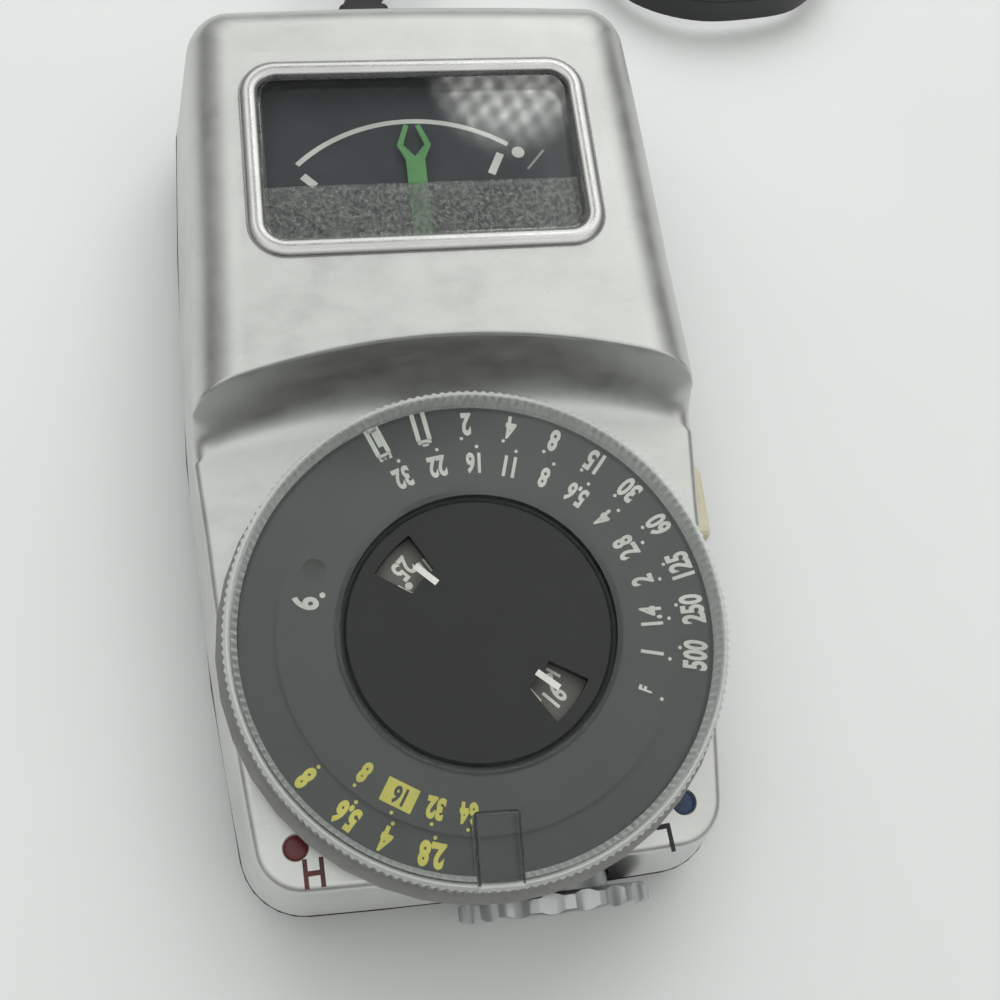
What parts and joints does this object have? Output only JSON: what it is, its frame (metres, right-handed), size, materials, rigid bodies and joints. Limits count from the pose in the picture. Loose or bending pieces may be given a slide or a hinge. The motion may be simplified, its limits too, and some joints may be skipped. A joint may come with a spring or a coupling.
{
  "type": "light meter",
  "caption": "Hand-held light meter: drafted metal case with a needle window, calculator dial under a clear milled cover, fluted range ring, side button, battery cap and wrist strap.",
  "frame": {"origin": "middle of the flat rear rest face", "axes": "+Z out of the dial side, +Y toward the strap end, +X toward the side button"},
  "size_m": [0.1051, 0.1589, 0.0311],
  "materials": {
    "satin_silver": "satin brushed",
    "black_cover": "matte",
    "window_clear": "clear moulded",
    "dial_clear": "clear moulded",
    "lens_clear": "clear",
    "frost": "frosted",
    "dark_print": "satin with white print",
    "black_disc": "satin",
    "track_black": "matte",
    "steel": "plain",
    "brass": "plain",
    "copper": "wound",
    "magnet": "plain",
    "needle_green": "matte",
    "board_brown": "matte",
    "resistor_tan": "gloss",
    "trimmer_blue": "satin",
    "dial_metal": "satin",
    "aluminium_ring": "machined",
    "cell_amber": "satin",
    "red_enamel": "enamel",
    "blue_enamel": "enamel",
    "ivory": "aged",
    "strap_black": "matte"
  },
  "bodies": {
    "case": {"front_casing": "satin_silver", "rear_cover": "black_cover", "meter_window": "window_clear", "frosted_strip": "frost", "scale_plate": "dark_print", "scale_screw_1": "steel", "scale_screw_2": "steel", "chassis_plate": "brass", "chassis_screw_1": "steel", "chassis_screw_2": "steel", "chassis_screw_3": "steel", "meter_yoke": "steel", "meter_core": "magnet", "upper_bridge": "brass", "circuit_board": "board_brown", "resistor_1": "resistor_tan", "resistor_2": "resistor_tan", "trimmer": "trimmer_blue", "wiper_track": "track_black", "centre_post": "steel", "film_speed_disc": "black_disc", "receptor_tube": "black_cover", "light_cell": "cell_amber", "red_dot": "red_enamel", "blue_dot": "blue_enamel", "button_spring": "steel", "switch_block": "black_cover", "switch_leaf_1": "brass", "switch_leaf_2": "brass", "battery_cell": "steel", "battery_contact": "brass", "rear_screw_1": "steel", "rear_screw_2": "steel", "rear_screw_3": "steel", "rear_screw_4": "steel", "strap_lug": "steel", "strap_end": "strap_black", "strap_keeper": "strap_black", "wrist_strap": "strap_black"},
    "needle_movement": {"needle": "needle_green", "needle_coil": "copper"},
    "dial": {"outer_dial": "dial_metal", "shutter_disc": "dark_print", "wiper_arm": "brass"},
    "dial_cover": {"clear_dial": "dial_clear", "aperture_disc": "dark_print", "centre_disc": "black_disc"},
    "range_knob": {"range_ring": "aluminium_ring", "receptor_lens": "lens_clear", "range_mask": "black_disc"},
    "side_button": {"measure_button": "ivory"},
    "battery_door": {"battery_cap": "black_cover", "battery_spring": "steel"},
    "zero_adjuster": {"zero_screw": "steel"}
  },
  "joints": [
    {"name": "needle_swing", "type": "hinge", "parent": "case", "child": "needle_movement", "pos_m": [-0.0013, 0.0146, 0.027], "axis": [0, 0, 1], "range_deg": [-36, 42], "stiffness_Nm_per_rad": 0.00002},
    {"name": "dial_turn", "type": "hinge", "parent": "case", "child": "dial", "pos_m": [0, -0.0284, 0.0236], "axis": [0, 0, 1], "range_deg": [-150, 150]},
    {"name": "film_speed_turn", "type": "hinge", "parent": "case", "child": "dial_cover", "pos_m": [0, -0.0284, 0.027], "axis": [0, 0, 1], "range_deg": [-120, 120]},
    {"name": "range_turn", "type": "hinge", "parent": "case", "child": "range_knob", "pos_m": [0.0066, -0.0552, 0.012], "axis": [0, -1, 0], "range_deg": [-45, 45]},
    {"name": "button_press", "type": "slide", "parent": "case", "child": "side_button", "axis": [-1, 0, 0], "range_m": [0, 0.0012], "stiffness_N_per_m": 300, "springref_m": -0.001, "deforming": ["button_spring"]},
    {"name": "battery_cap_turn", "type": "hinge", "parent": "case", "child": "battery_door", "pos_m": [0, 0.04, 0.001], "axis": [0, 0, 1], "range_deg": [0, 90]},
    {"name": "zero_turn", "type": "hinge", "parent": "case", "child": "zero_adjuster", "pos_m": [-0.0013, 0.0146, 0.001], "axis": [0, 0, 1], "range_deg": [-45, 45]}
  ]
}
